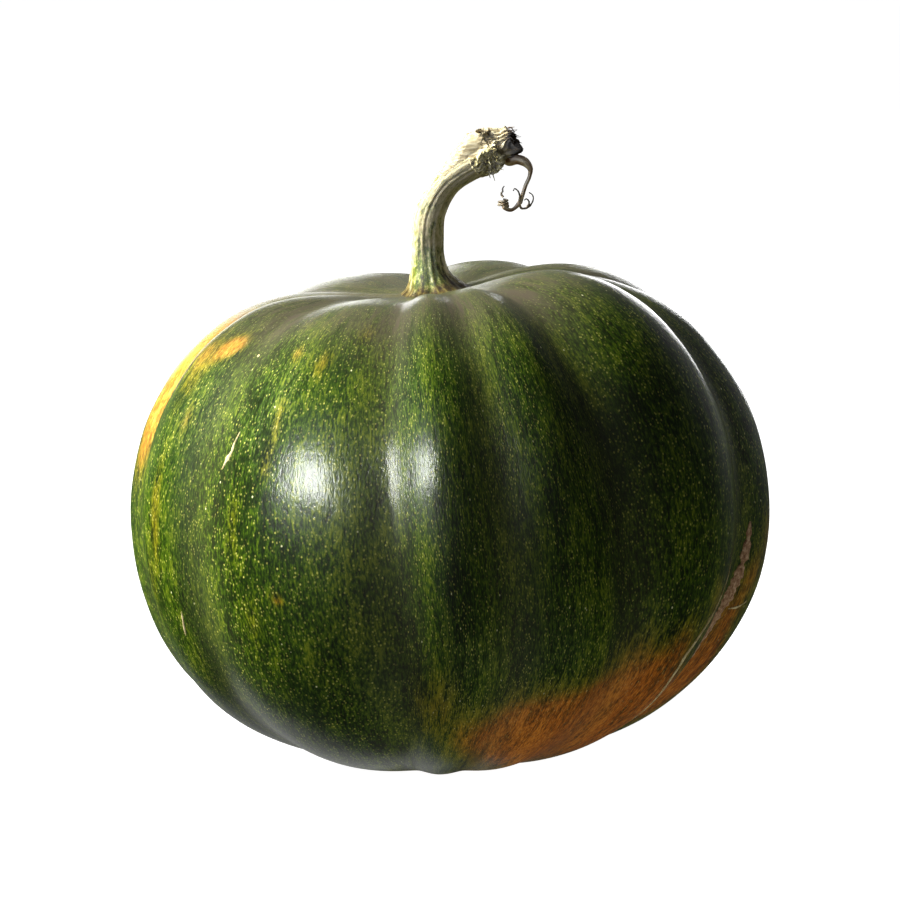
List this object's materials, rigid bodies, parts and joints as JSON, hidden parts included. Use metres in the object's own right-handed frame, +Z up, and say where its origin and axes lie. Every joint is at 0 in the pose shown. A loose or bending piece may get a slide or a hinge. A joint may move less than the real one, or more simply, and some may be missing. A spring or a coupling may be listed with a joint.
{
  "type": "pumpkin",
  "caption": "Whole ribbed green pumpkin with orange patches, its bent fluted stalk, a stub of the vine and a dried curled tendril.",
  "frame": {"origin": "middle of the whole part's footprint, on the surface that the pumpkin rests on", "axes": "+Z up; the front, with the leaf-stalk scar on the vine stub, faces -Y; the stalk bends over towards +X, and the fruit leans a few degrees towards -X"},
  "size_m": [0.2494, 0.2472, 0.2442],
  "materials": {
    "skin": "satin",
    "stalk": "matte",
    "dry_vine": "matte",
    "dry_tendril": "matte"
  },
  "bodies": {
    "root": {"fruit": "skin", "stem": "stalk", "vine_stub": "dry_vine", "tendril": "dry_tendril"}
  },
  "joints": []
}
